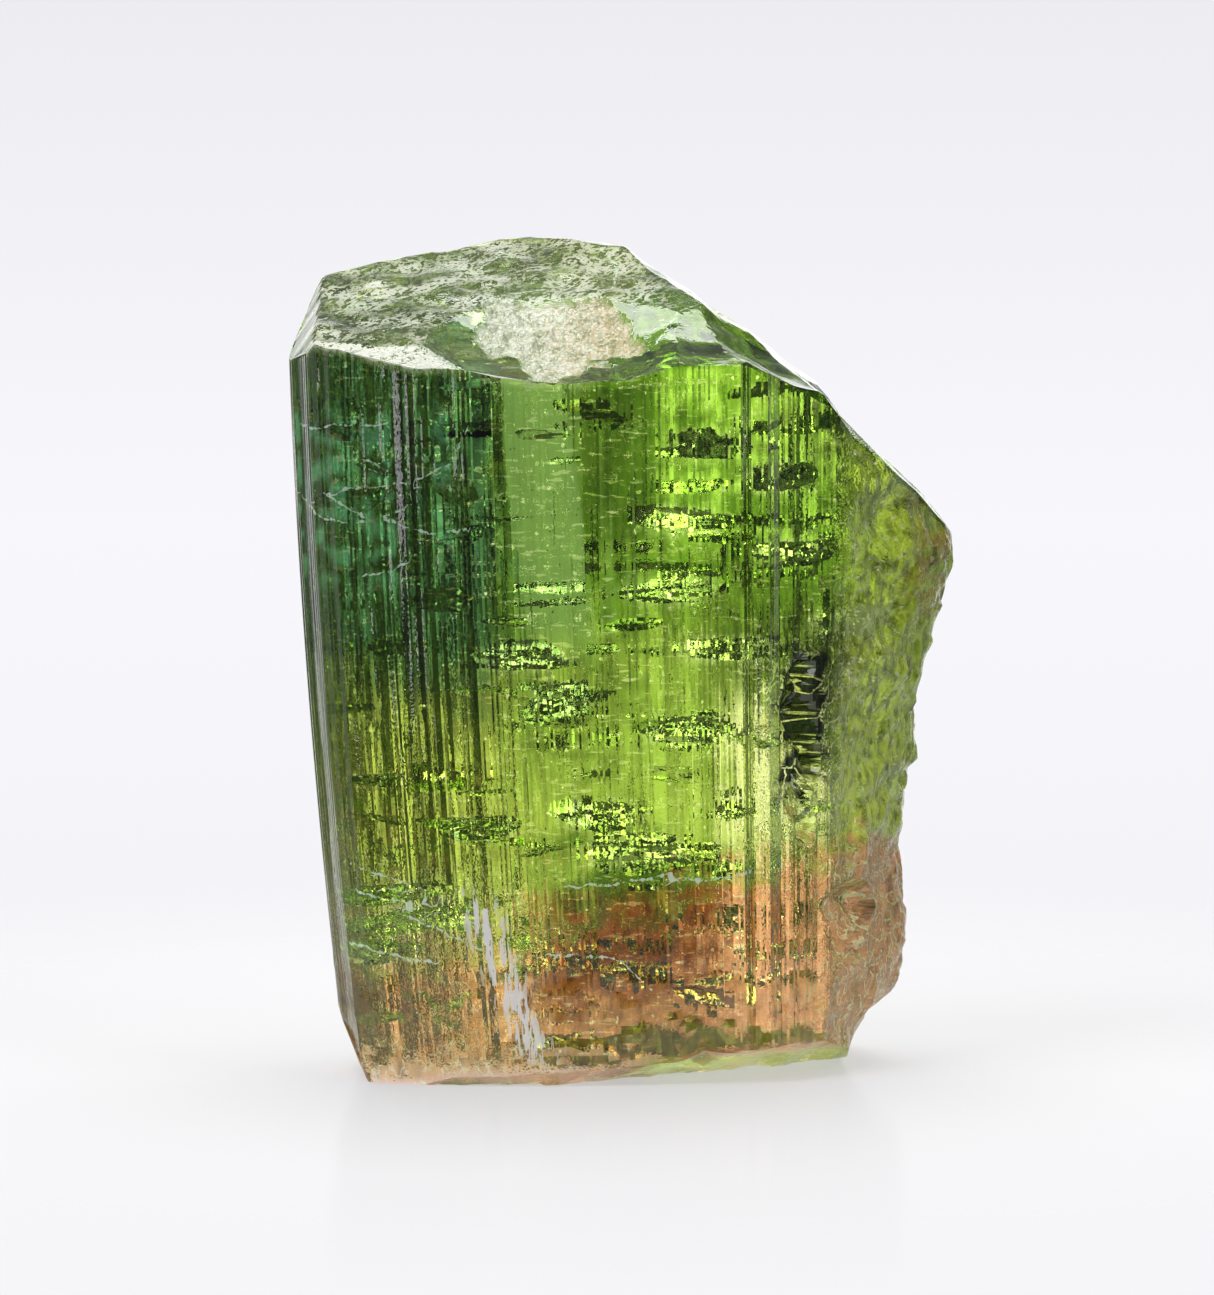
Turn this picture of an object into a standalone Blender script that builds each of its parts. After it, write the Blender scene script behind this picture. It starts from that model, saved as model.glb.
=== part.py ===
"""A bi-colour tourmaline crystal, one piece, standing on its broken base.

Metres, +Z up along the crystal's long axis. The broad striated face looks towards -Y, and the origin
lies on the flat of the base. The crystal starts as a tapering prism whose section is a rounded polygon
with striated sides. One uneven slab cuts its etched end and its sloping right shoulder. A box cuts the
flat of its base, a second slab breaks the base's edges, and scoops break its sides.
"""

import math

import bmesh
import bpy
import numpy as np
from mathutils import Matrix, Vector, noise

MM = 0.001

# Whole crystal
HEIGHT = 29.3 * MM
LOFT_SPARE = 1.0 * MM  # the prism's extra length at each end, which the cuts take off
LEVELS = 24

# Section at mid height, seen from above: corners (x, y) in millimetres, from the left edge round the front
SECTION_MM = [
    (-10.9, -1.4),
    (-10.0, -4.7),
    (-6.6, -5.6),
    (-3.7, -5.8),
    (-0.3, -5.6),
    (4.4, -5.2),
    (7.4, -3.8),
    (10.3, -1.6),
    (11.4, 1.4),
    (9.6, 4.6),
    (3.2, 7.0),
    (-3.4, 6.6),
    (-9.9, 2.4),
]
MID_HEIGHT = 15.0 * MM
RIDGE_X = 7.4 * MM  # upright edge between the striated front and the broken right side
# Growth in width left of the ridge and in depth, for each metre above mid height, and how it slackens
TAPER_X = 3.75
TAPER_X_SLACK = 93
TAPER_Y = 2.6
# The broken right side's reach in x at heights above the base, both in millimetres
RIGHT_REACH_MM = [
    (-1.0, 8.0),
    (0.4, 8.5),
    (1.2, 9.0),
    (1.8, 9.3),
    (2.5, 10.0),
    (3.7, 10.3),
    (5.6, 10.4),
    (7.6, 10.3),
    (10.2, 10.6),
    (11.3, 10.6),
    (13.3, 10.9),
    (15.7, 11.5),
    (17.7, 12.1),
    (18.7, 12.3),
    (20.0, 12.1),
    (30.5, 11.2),
]

# Striation: flat strips that run up the prism, set in or out a little
STRIPS = 116
NARROWEST, WIDEST = 0.45, 1.6  # relative widths
STRIP_DEPTH = 0.075 * MM
PLANK_DEPTH = 0.14 * MM  # of the bolder strips beside the ridge
PLANKS_FROM_X = 4.2 * MM
PLANKS_TO_X = 8.0 * MM
STRIP_SEED = 11

# Broken right side
LUMP_SIZE = 2.6 * MM
LUMP_DEPTH = 0.36 * MM
GRAIN_SIZE = 1.1 * MM
GRAIN_DEPTH = 0.20 * MM

# Top: the etched end slopes up towards the back, and the shoulder falls away to the right
END_FRONT = 25.85 * MM  # height of the end's front edge
END_FRONT_Y = -5.4 * MM
END_SLOPE = 0.268
# Heights of the shoulder at distances to the right, both in millimetres
SHOULDER_MM = [
    (-2.4, 29.3),
    (-0.8, 29.1),
    (0.5, 28.9),
    (1.5, 28.1),
    (2.8, 27.4),
    (3.8, 26.6),
    (4.9, 26.1),
    (6.3, 24.9),
    (7.4, 24.1),
    (8.1, 23.1),
    (8.5, 22.5),
    (9.5, 21.6),
    (10.4, 20.8),
    (11.1, 20.2),
    (11.8, 19.3),
    (13.5, 17.0),
]
SHOULDER_BACK_FALL = 0.035
TOP_WAVE_SIZE = 4.0 * MM
TOP_WAVE_DEPTH = 0.18 * MM
TOP_PIT_SIZE = 1.1 * MM
TOP_PIT_DEPTH = 0.11 * MM
TOP_CELL = 0.52 * MM

# Hollows broken out of the top: (x, y, z in mm, slope in x, slope in y, rise per mm squared from the middle)
TOP_HOLLOWS = [
    (-1.2, -3.4, 25.45, 0.02, 0.40, 0.040),  # the frosted break in the middle of the front edge
    (2.6, -3.6, 25.85, -0.16, 0.38, 0.060),  # the clean one to its right
    (5.6, -3.6, 24.9, -0.42, 0.10, 0.070),
    (-7.2, -5.4, 25.60, 0.00, 0.85, 0.020),  # the bevel along the front edge at the left
    (1.8, 8.2, 28.2, -0.30, -0.55, 0.050),  # back edge
    (-7.6, 5.6, 28.0, 0.30, -0.55, 0.050),
    (9.4, -0.6, 21.5, -0.85, -0.10, 0.100),
]
# Planes that cut the top's left end and its back edge: (x, y, z in mm, slope in x, slope in y)
TOP_PLANES = [
    (-10.6, 0.4, 27.0, 1.5, 0.25),
    (0.0, 7.3, 29.0, 0.0, -0.9),
]

# Base: broken planes that rise from the flat towards an edge: (x, y in mm where each starts, slopes in x and y)
BASE_PLANES = [
    (-3.1, -5.6, 0.185, -0.330),  # front right
    (-8.8, 0.0, -2.30, -0.10),  # left corner
    (-4.0, -5.15, 0.00, -1.10),  # front left lip
    (0.0, 5.2, 0.05, 0.60),  # back
    (8.5, 1.0, 1.10, 0.10),  # right foot
]
BASE_WAVE_SIZE = 1.3 * MM
BASE_WAVE_DEPTH = 0.26 * MM
BASE_DEEP = 4.0 * MM
BASE_CELL = 0.9 * MM

# Half sizes of the slabs, which reach past the prism all round
SLAB_HALF_X = 14 * MM
SLAB_HALF_Y = 9 * MM

# Places in the noise: the top's pits, and the grids' uneven spacing
PIT_SHIFT = Vector((7.0, 3.0, 1.0))
ACROSS_SHIFT = Vector((0.3, 4.7, 1.9))
ALONG_SHIFT = Vector((5.1, 0.6, 8.3))

# Scoops broken out of the sides: (name, centre in mm, radii in mm, turn about z in degrees, unevenness)
SCOOPS = [
    ("ridge_pit", (6.8, -5.2, 13.4), (0.85, 2.1, 2.5), 14, 0.55),
    ("ridge_pit_low", (7.0, -4.9, 10.4), (0.7, 1.5, 2.3), 14, 0.55),
    ("right_hollow", (9.4, -3.9, 5.6), (1.6, 2.2, 2.2), 40, 0.35),
    ("right_ledge", (14.0, -1.2, 10.2), (3.6, 5.0, 1.3), 20, 0.15),
    ("front_spall", (-4.7, -7.3, 4.4), (0.9, 1.8, 3.4), 0, 0.25),
    ("back_scar", (-8.6, 7.2, 8.0), (3.4, 3.4, 5.2), 32, 0.25),
    ("back_chip", (6.2, 9.2, 18.0), (3.6, 3.6, 3.6), -20, 0.20),
]
SCOOP_WAVE_SIZE = 1.1 * MM

GREEN = (0.13, 0.34, 0.05, 1.0)
ROUGHNESS = 0.12
INDEX = 1.63


def clear_scene():
    for obj in list(bpy.data.objects):
        bpy.data.objects.remove(obj, do_unlink=True)


def collection_named(name):
    found = bpy.data.collections.new(name)
    bpy.context.scene.collection.children.link(found)
    return found


def link_mesh(bm, name, collection):
    """Turn a bmesh into a new object, and free it."""
    mesh = bpy.data.meshes.new(name)
    bm.to_mesh(mesh)
    bm.free()
    obj = bpy.data.objects.new(name, mesh)
    collection.objects.link(obj)
    return obj


def corner_shares(corners):
    """How far round the section each corner lies, from 0 to 1."""
    lengths = np.linalg.norm(np.roll(corners, -1, axis=0) - corners, axis=1)
    return np.concatenate([[0.0], np.cumsum(lengths) / lengths.sum()])


def strip_marks():
    """Shares of the section's perimeter where one striation strip meets the next."""
    rng = np.random.default_rng(STRIP_SEED)
    widths = rng.uniform(NARROWEST, WIDEST, STRIPS)
    return np.cumsum(widths) / widths.sum()


def striated_outline():
    """Points of the striated section at mid height: on the polygon, then set in or out."""
    corners = np.array(SECTION_MM) * MM
    shares = corner_shares(corners)
    ring = np.vstack([corners, corners[:1]])
    marks = strip_marks()
    points = np.column_stack([np.interp(marks, shares, ring[:, axis]) for axis in (0, 1)])
    rounded = (np.roll(points, 1, axis=0) + 2 * points + np.roll(points, -1, axis=0)) / 4
    along = np.roll(rounded, -1, axis=0) - np.roll(rounded, 1, axis=0)
    outward = np.column_stack([along[:, 1], -along[:, 0]])
    outward /= np.linalg.norm(outward, axis=1)[:, None]
    steps = np.random.default_rng(STRIP_SEED + 1).uniform(-1, 1, STRIPS)
    planks = (rounded[:, 0] > PLANKS_FROM_X) & (rounded[:, 0] < PLANKS_TO_X) & (rounded[:, 1] < 0)
    depths = np.where(planks, PLANK_DEPTH, STRIP_DEPTH)
    return rounded + outward * (steps * depths)[:, None]


def right_reach(z):
    heights, reaches = np.array(RIGHT_REACH_MM).T * MM
    return float(np.interp(z, heights, reaches))


def placed(x, y, z):
    """Where a point of the mid-height section lies at height z, tapered, and bulged on the right."""
    rise = z - MID_HEIGHT
    widest = max(corner[0] for corner in SECTION_MM) * MM
    y *= 1 + TAPER_Y * rise
    if x <= RIDGE_X:
        return Vector((RIDGE_X + (x - RIDGE_X) * (1 + TAPER_X * rise - TAPER_X_SLACK * rise * rise), y, z))
    swell = (right_reach(z) - RIDGE_X) / (widest - RIDGE_X)
    spot = Vector((x, y, z))
    lump = noise.noise(spot / LUMP_SIZE) * LUMP_DEPTH + noise.noise(spot / GRAIN_SIZE) * GRAIN_DEPTH
    share = min(1.0, (x - RIDGE_X) / (widest - RIDGE_X) * 2)
    return Vector((RIDGE_X + (x - RIDGE_X) * swell + lump * share, y - lump * share, z))


def prism(collection):
    """The striated, tapering prism: a cylinder primitive with its rings moved onto the section."""
    outline = striated_outline()
    bm = bmesh.new()
    bmesh.ops.create_cone(
        bm, cap_ends=True, segments=STRIPS, radius1=1, radius2=1, depth=1,
        matrix=Matrix.Translation((0, 0, 0.5)),
    )
    upright = [e for e in bm.edges if abs(e.verts[0].co.z - e.verts[1].co.z) > 0.5]
    bmesh.ops.subdivide_edges(bm, edges=upright, cuts=LEVELS - 1)
    for vertex in bm.verts:
        turn = math.atan2(vertex.co.y, vertex.co.x) / math.tau
        x, y = outline[round(turn * STRIPS) % STRIPS]
        z = vertex.co.z * (HEIGHT + 2 * LOFT_SPARE) - LOFT_SPARE
        vertex.co = placed(x, y, z)
    bmesh.ops.recalc_face_normals(bm, faces=bm.faces)
    return link_mesh(bm, "tourmaline_crystal", collection)


def shoulder_height(x, y):
    distances, heights = np.array(SHOULDER_MM).T * MM
    return float(np.interp(x, distances, heights)) - SHOULDER_BACK_FALL * y


def hollow_height(hollow, x, y):
    """Height of a bowl-shaped break at (x, y)."""
    middle_x, middle_y, middle_z = (value * MM for value in hollow[:3])
    slope_x, slope_y, bend = hollow[3:]
    off_x, off_y = x - middle_x, y - middle_y
    return middle_z + slope_x * off_x + slope_y * off_y + bend / MM * (off_x * off_x + off_y * off_y)


def top_height(x, y):
    """Height of the top: the lowest of the etched end, the shoulder and the breaks, with waves and pits."""
    spot = Vector((x, y, 0))
    waves = noise.noise(spot / TOP_WAVE_SIZE) * TOP_WAVE_DEPTH
    pits = noise.noise(spot / TOP_PIT_SIZE + PIT_SHIFT) * TOP_PIT_DEPTH
    heights = [END_FRONT + END_SLOPE * (y - END_FRONT_Y), shoulder_height(x, y)]
    heights += [hollow_height(hollow, x, y) for hollow in TOP_HOLLOWS]
    heights += [hollow_height((*plane, 0.0), x, y) for plane in TOP_PLANES]
    return min(heights) + waves + pits


def base_height(x, y):
    """Height of the broken parts of the base. It is below zero where the flat is whole."""
    waves = noise.noise(Vector((x, y, 0)) / BASE_WAVE_SIZE) * BASE_WAVE_DEPTH
    rises = [hollow_height((at_x, at_y, 0.0, *slopes, 0.0), x, y) for at_x, at_y, *slopes in BASE_PLANES]
    return max(-BASE_DEEP / 2, max(rises) + waves)


def slab(name, cell, height_at, far, collection):
    """A block between a grid that follows height_at(x, y) and the flat at the height far."""
    bm = bmesh.new()
    columns, rows = round(2 * SLAB_HALF_X / cell), round(2 * SLAB_HALF_Y / cell)
    bmesh.ops.create_grid(bm, x_segments=columns, y_segments=rows, size=1)
    raised = bmesh.ops.extrude_face_region(bm, geom=list(bm.faces))["geom"]
    lid = {item for item in raised if isinstance(item, bmesh.types.BMVert)}
    for vertex in bm.verts:
        spot = Vector((vertex.co.x * SLAB_HALF_X, vertex.co.y * SLAB_HALF_Y, 0))
        x = spot.x + noise.noise(spot / cell + ACROSS_SHIFT) * cell
        y = spot.y + noise.noise(spot / cell + ALONG_SHIFT) * cell
        vertex.co = Vector((x, y, far if vertex in lid else height_at(x, y)))
    bmesh.ops.recalc_face_normals(bm, faces=bm.faces)
    return link_mesh(bm, name, collection)


def base_cutter(collection):
    """Everything below the flat that the crystal stands on."""
    bm = bmesh.new()
    bmesh.ops.create_cube(bm, size=40 * MM, matrix=Matrix.Translation((0, 0, -20 * MM)))
    return link_mesh(bm, "base_cutter", collection)


def scoop_cutter(name, centre, radii, turn, unevenness, collection):
    """A bite out of a side: a ball of flat facets, drawn out and made uneven."""
    bm = bmesh.new()
    bmesh.ops.create_icosphere(bm, subdivisions=2, radius=1)
    place = Matrix.Translation(Vector(centre) * MM) @ Matrix.Rotation(math.radians(turn), 4, "Z")
    shape = place @ Matrix.Diagonal((*(r * MM for r in radii), 1))
    for vertex in bm.verts:
        uneven = 1 + noise.noise(shape @ vertex.co / SCOOP_WAVE_SIZE) * unevenness
        vertex.co = shape @ (vertex.co * uneven)
    return link_mesh(bm, "scoop_" + name, collection)


def cut(obj, cutter):
    cutter.hide_render = True
    cutter.display_type = "WIRE"
    modifier = obj.modifiers.new(cutter.name, "BOOLEAN")
    modifier.operation = "DIFFERENCE"
    modifier.object = cutter


def tourmaline():
    material = bpy.data.materials.new("tourmaline")
    material.use_nodes = True
    shader = material.node_tree.nodes["Principled BSDF"]
    shader.inputs["Base Color"].default_value = GREEN
    shader.inputs["Roughness"].default_value = ROUGHNESS
    shader.inputs["Metallic"].default_value = 0.0
    shader.inputs["IOR"].default_value = INDEX
    shader.inputs["Transmission Weight"].default_value = 1.0
    return material


def main():
    clear_scene()
    parts = collection_named("tourmaline_crystal")
    cutters = collection_named("cutters")
    crystal = prism(parts)
    crystal.data.materials.append(tourmaline())
    cut(crystal, slab("top_cutter", TOP_CELL, top_height, HEIGHT + 4 * MM, cutters))
    cut(crystal, base_cutter(cutters))
    cut(crystal, slab("base_breaks", BASE_CELL, base_height, -BASE_DEEP, cutters))
    for values in SCOOPS:
        cut(crystal, scoop_cutter(*values, cutters))


main()
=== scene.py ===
"""The look of the tourmaline crystal: one clear piece with striations, an etched end, breaks and cracks."""

import math

import bmesh
import bpy
import numpy as np
from mathutils import Matrix, Vector, noise
from mathutils.geometry import delaunay_2d_cdt


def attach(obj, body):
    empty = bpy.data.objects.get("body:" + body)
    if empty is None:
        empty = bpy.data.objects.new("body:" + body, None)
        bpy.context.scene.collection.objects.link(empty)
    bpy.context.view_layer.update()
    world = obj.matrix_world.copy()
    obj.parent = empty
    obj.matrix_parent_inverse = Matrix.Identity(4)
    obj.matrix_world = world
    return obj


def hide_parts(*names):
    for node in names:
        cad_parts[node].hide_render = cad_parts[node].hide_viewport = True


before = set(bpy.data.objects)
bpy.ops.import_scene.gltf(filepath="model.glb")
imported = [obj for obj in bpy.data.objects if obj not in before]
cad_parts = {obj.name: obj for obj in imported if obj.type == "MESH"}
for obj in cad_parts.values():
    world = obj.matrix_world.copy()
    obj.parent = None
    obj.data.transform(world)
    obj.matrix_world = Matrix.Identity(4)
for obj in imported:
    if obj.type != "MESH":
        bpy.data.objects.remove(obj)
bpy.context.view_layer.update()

MM = 0.001

# The solid's own values: section, taper, right side, striation, top and base
SECTION_MM = [
    (-10.9, -1.4), (-10.0, -4.7), (-6.6, -5.6), (-3.7, -5.8), (-0.3, -5.6), (4.4, -5.2), (7.4, -3.8),
    (10.3, -1.6), (11.4, 1.4), (9.6, 4.6), (3.2, 7.0), (-3.4, 6.6), (-9.9, 2.4),
]
MID_HEIGHT = 15.0 * MM
RIDGE_X = 7.4 * MM
TAPER_X = 3.75
TAPER_X_SLACK = 93
TAPER_Y = 2.6
RIGHT_REACH_MM = [
    (-1.0, 8.0), (0.4, 8.5), (1.2, 9.0), (1.8, 9.3), (2.5, 10.0), (3.7, 10.3), (5.6, 10.4), (7.6, 10.3),
    (10.2, 10.6), (11.3, 10.6), (13.3, 10.9), (15.7, 11.5), (17.7, 12.1), (18.7, 12.3), (20.0, 12.1),
    (30.5, 11.2),
]
STRIPS = 116
NARROWEST, WIDEST = 0.45, 1.6
STRIP_DEPTH = 0.075 * MM
PLANK_DEPTH = 0.14 * MM
PLANKS_FROM_X = 4.2 * MM
PLANKS_TO_X = 8.0 * MM
STRIP_SEED = 11
LUMP_SIZE = 2.6 * MM
LUMP_DEPTH = 0.36 * MM
GRAIN_SIZE = 1.1 * MM
GRAIN_DEPTH = 0.20 * MM
END_FRONT = 25.85 * MM
END_FRONT_Y = -5.4 * MM
END_SLOPE = 0.268
SHOULDER_MM = [
    (-2.4, 29.3), (-0.8, 29.1), (0.5, 28.9), (1.5, 28.1), (2.8, 27.4), (3.8, 26.6), (4.9, 26.1),
    (6.3, 24.9), (7.4, 24.1), (8.1, 23.1), (8.5, 22.5), (9.5, 21.6), (10.4, 20.8), (11.1, 20.2),
    (11.8, 19.3), (13.5, 17.0),
]
SHOULDER_BACK_FALL = 0.035
TOP_WAVE_SIZE = 4.0 * MM
TOP_WAVE_DEPTH = 0.18 * MM
TOP_PIT_SIZE = 1.1 * MM
TOP_PIT_DEPTH = 0.11 * MM
TOP_HOLLOWS = [
    (-1.2, -3.4, 25.45, 0.02, 0.40, 0.040),
    (2.6, -3.6, 25.85, -0.16, 0.38, 0.060),
    (5.6, -3.6, 24.9, -0.42, 0.10, 0.070),
    (-7.2, -5.4, 25.60, 0.00, 0.85, 0.020),
    (1.8, 8.2, 28.2, -0.30, -0.55, 0.050),
    (-7.6, 5.6, 28.0, 0.30, -0.55, 0.050),
    (9.4, -0.6, 21.5, -0.85, -0.10, 0.100),
]
TOP_PLANES = [
    (-10.6, 0.4, 27.0, 1.5, 0.25),
    (0.0, 7.3, 29.0, 0.0, -0.9),
]
BASE_PLANES = [
    (-3.1, -5.6, 0.185, -0.330),
    (-8.8, 0.0, -2.30, -0.10),
    (-4.0, -5.15, 0.00, -1.10),
    (0.0, 5.2, 0.05, 0.60),
    (8.5, 1.0, 1.10, 0.10),
]
BASE_WAVE_SIZE = 1.3 * MM
BASE_WAVE_DEPTH = 0.26 * MM
PIT_SHIFT = np.array((7.0, 3.0, 1.0))

SCOOPS = [
    ((6.8, -5.2, 13.4), (0.85, 2.1, 2.5), 14, 0.55),
    ((7.0, -4.9, 10.4), (0.7, 1.5, 2.3), 14, 0.55),
    ((9.4, -3.9, 5.6), (1.6, 2.2, 2.2), 40, 0.35),
    ((14.0, -1.2, 10.2), (3.6, 5.0, 1.3), 20, 0.15),
    ((-4.7, -7.3, 4.4), (0.9, 1.8, 3.4), 0, 0.25),
    ((-8.6, 7.2, 8.0), (3.4, 3.4, 5.2), 32, 0.25),
    ((6.2, 9.2, 18.0), (3.6, 3.6, 3.6), -20, 0.20),
]
SCOOP_WAVE_SIZE = 1.1 * MM

# Finer relief than the solid has
FINE_WIDTH = 0.085 * MM
CRUMB_WIDTH = 0.16 * MM
CUT_SHIFT = 0.35  # how far a cut between two flats may move, as a share of a flat
FINE_DEPTH = 0.024 * MM
FINE_FADE_SIZE = np.array((0.5, 0.5, 5.0)) * MM
FINE_FADE = (0.6, 0.9)  # the middle of the depth's share, and how far noise moves it
FINE_SEED = 5
CRUMB_SIZE = 0.45 * MM
CRUMB_DEPTH = 0.11 * MM
BACK_WAVE_SIZE = 1.3 * MM
BACK_WAVE_FLATTEN = (1, 1, 1.8)
BACK_WAVE_DEPTH = 0.10 * MM
FOOT_HEIGHT = 6.0 * MM
FOOT_LUMP_SIZE = 0.7 * MM
FOOT_LUMP_DEPTH = 0.07 * MM
LEVELS = 80
RIM_STEPS = 12
RIM_START = 27 * MM
CAP_SPACING = 0.15 * MM
BASE_SPACING = 0.35 * MM
CAP_JITTER = 0.42  # how far a cap's inner point may move, as a share of the spacing
CAP_GAP = 0.6  # how far it stays from the rim, as a share of the spacing
SPACING_SEED = 3
HEART = np.array((0.0, 0.5)) * MM  # a point that sees the whole rim

# How frosted and how dull each layer of the top is: etched end, shoulder, seven hollows, two planes
TOP_FROST = (0.25, 0.02, 0.02, 0.10, 0.02, 1.00, 0.40, 0.50, 0.02, 0.20, 0.20)
TOP_DULL = (0.75, 0.02, 0.05, 0.45, 0.00, 1.00, 0.40, 0.50, 0.00, 0.20, 0.50)
TOP_HIGHLIGHT_MM = (-8.4, 1.4)  # a painted round highlight near the left end of the top
TOP_HIGHLIGHT_RADIUS = 0.42
WHITE_RIM = [(-10.9, -4.2), (-10.5, -4.8), (-6.6, -5.8)]  # x and y in mm
WHITE_RIM_WIDTH = 0.62
RIM_EDGE_SIZE = (0.7, 0.7, 0.7)
DULL_PATCH_SIZE = (1.4, 1.4, 1.4)
BASE_FROST = 0.6
BASE_DULL = 0.5
BROKEN_FROM = 0.02 * MM  # the base is broken where it is higher than this
LAYER_BLEND = 0.03 * MM

# Tones of the upright flats, from dark at 0 to clear at 1
LINE_SHARE = 0.15  # how many of the flats are dark lines
LINE_TONES = (0.0, 0.12)
FLAT_STRIPS = 3  # how many strips share one wide flat's tone
FLAT_TONES = (0.25, 1.0)
STRIP_TONES = (0.25, 1.0)

FRESH_BREAK_MM = (-2.0, -2.4)  # the pale break in the middle of the top
FRESH_BREAK_REACH = (2.7, 2.5)
FRESH_BREAK_UNEVEN = 0.45
FRESH_BREAK_EDGE_SIZE = (1.6, 1.6, 1.6)
FRESH_GRAIN_SIZE = 0.55 * MM
FRESH_GRAIN_DEPTH = 0.45 * MM
ETCH_SIZE = 0.42 * MM
ETCH_DEPTH = 0.010 * MM

# Fractures inside: x, y, z, radius across and in depth in mm, tilt to the front and to the right in degrees
FRACTURES = [
    (-9.0, -3.2, 22.9, 1.9, 1.2, 15, 4),
    (-8.8, -3.2, 20.5, 2.2, 1.3, 15, -3),
    (-7.6, -3.6, 18.3, 0.9, 0.8, 16, 14),
    (-5.9, -3.8, 21.2, 1.3, 0.8, 30, 36),
    (-7.2, -2.0, 21.7, 1.9, 1.2, 16, -4),
    (-3.1, -2.9, 15.0, 1.6, 1.6, 14, 2),
    (-1.6, -2.6, 13.6, 1.3, 1.8, 15, -5),
    (-0.6, -1.8, 9.4, 1.7, 1.8, 15, 6),
    (0.6, -1.6, 8.2, 2.0, 1.8, 16, -4),
    (-7.8, -3.4, 6.6, 2.2, 1.2, 15, -8),
    (-7.4, -3.0, 5.6, 2.6, 1.4, 14, -7),
    (-8.2, -2.8, 4.6, 1.8, 1.4, 16, -6),
    (2.4, -2.0, 19.8, 1.6, 1.8, 14, 3),
    (2.0, -1.6, 17.4, 1.8, 1.8, 15, -4),
    (3.4, -2.0, 22.4, 1.5, 1.8, 15, 5),
    (5.8, -1.8, 21.2, 1.2, 1.8, 14, -6),
    (6.2, -1.6, 18.6, 1.3, 1.6, 14, 4),
    (8.4, -0.4, 16.0, 1.6, 1.5, 16, -6),
    (6.4, -2.8, 13.0, 0.9, 1.4, 64, 40),
    (-5.0, -2.6, 9.0, 1.6, 1.4, 15, 2),
    (4.0, -1.0, 15.2, 1.8, 1.6, 15, 3),
    (2.6, -1.6, 12.4, 1.8, 1.6, 15, -3),
]
# Thin cracks that reach the front: x and z in mm along each one
CRACK_LINES = [
    [(-11.0, 23.0), (-9.4, 23.2), (-7.6, 23.3)],
    [(-8.3, 22.0), (-7.3, 21.5), (-6.5, 21.4), (-5.3, 21.9), (-4.8, 23.1)],
    [(-9.9, 20.9), (-7.9, 21.1), (-6.8, 21.2), (-6.7, 20.6), (-7.4, 20.1), (-8.4, 20.0), (-9.9, 20.9)],
    [(-10.8, 20.7), (-10.1, 20.1), (-9.2, 19.8), (-8.0, 19.9), (-7.2, 19.8), (-6.0, 19.5), (-4.9, 19.6)],
    [(-8.4, 18.0), (-7.5, 18.2), (-6.9, 18.5), (-6.5, 18.9)],
    [(-9.8, 7.8), (-7.8, 7.2), (-6.6, 6.7)],
    [(-9.5, 6.8), (-8.0, 6.5), (-6.6, 6.4)],
    [(-8.2, 6.1), (-6.9, 5.6), (-5.3, 4.9)],
    [(-9.9, 4.9), (-8.2, 4.5), (-6.9, 4.4)],
    [(-3.1, 4.6), (-1.6, 4.7), (0.0, 4.4), (0.9, 3.5)],
    [(-1.9, 7.1), (0.0, 7.2), (1.9, 7.5)],
    [(1.9, 7.2), (4.2, 7.4), (4.7, 7.5)],
]
# The same on the top: x and y in mm
TOP_CRACK_LINES = [
    [(-11.0, -3.2), (-9.3, -0.7), (-6.9, 0.4), (-5.2, 2.1), (-4.1, 4.5)],
    [(-8.0, -3.4), (-6.1, -1.7), (-3.9, 0.4), (-1.7, 1.5)],
    [(-0.4, 5.6), (0.2, 3.4), (0.0, 1.2)],
    [(1.6, -3.0), (2.4, -1.4), (4.2, 0.2)],
]
FRACTURE_GAP = 0.012 * MM
FRACTURE_WAVE = 0.11 * MM
SCATTERED = 150
FLAKES = 1400
FLAKE_GAP = 0.01 * MM
TUBES = 60
TUBE_WIDTH = 0.015 * MM
TUBE_GAP = 0.012 * MM
INNER_SEED = 17
INNER_MARGIN = 0.12 * MM

# Colours that light takes on its way through
TEAL = (0.150, 0.400, 0.140)
# painted light: the bright panes at the upper left of the front
PANE_LIGHT = (0.260, 0.900, 0.480)
# painted highlight: paler in front of the fractures, for the light they reflect
FRACTURE_HIGHLIGHT = (0.900, 1.000, 0.500)
# painted reflection: a greyer green for the sheen on the smooth leaning flat
PLANK_SHEEN = (0.190, 0.310, 0.090)
LEAF = (0.150, 0.310, 0.014)
MOSS = (0.060, 0.130, 0.008)
LIME = (0.370, 0.530, 0.070)
SUNLIT = (0.620, 1.000, 0.120)
FOG = (1.000, 1.000, 0.450)
SUGAR = (0.780, 1.000, 0.100)
OLIVE = (0.720, 0.840, 0.140)
ASH = (0.450, 0.560, 0.250)
STRAW = (0.640, 0.680, 0.180)
PINK = (1.000, 0.450, 0.230)
ROSE = (0.780, 0.360, 0.130)
BROWN = (0.190, 0.048, 0.005)
# painted highlight: pale pink for the glints along the broken base's left rim
BASE_HIGHLIGHT = (1.000, 0.620, 0.460)
STAIN = (0.900, 0.300, 0.030)
# painted shade: near-black for the pit in the broken ridge
PIT_SHADE = (0.001, 0.002, 0.001)
# painted shade: dark olive for the creases of the fresh break
CREASE_SHADE = (0.300, 0.320, 0.130)
GLINT = (1.000, 0.980, 0.650)
FROST = (0.880, 0.900, 0.760)
BEIGE = (0.880, 0.680, 0.460)
# painted highlight: white for the splinter streak, partly the splinters' pale colour and partly their
# glints
SPLINTER_GLINT_WHITE = (1.000, 0.970, 0.980)
# painted highlight: pale for the glints of the thin cracks
CRACK_GLINT = (0.800, 1.000, 0.860)

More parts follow.
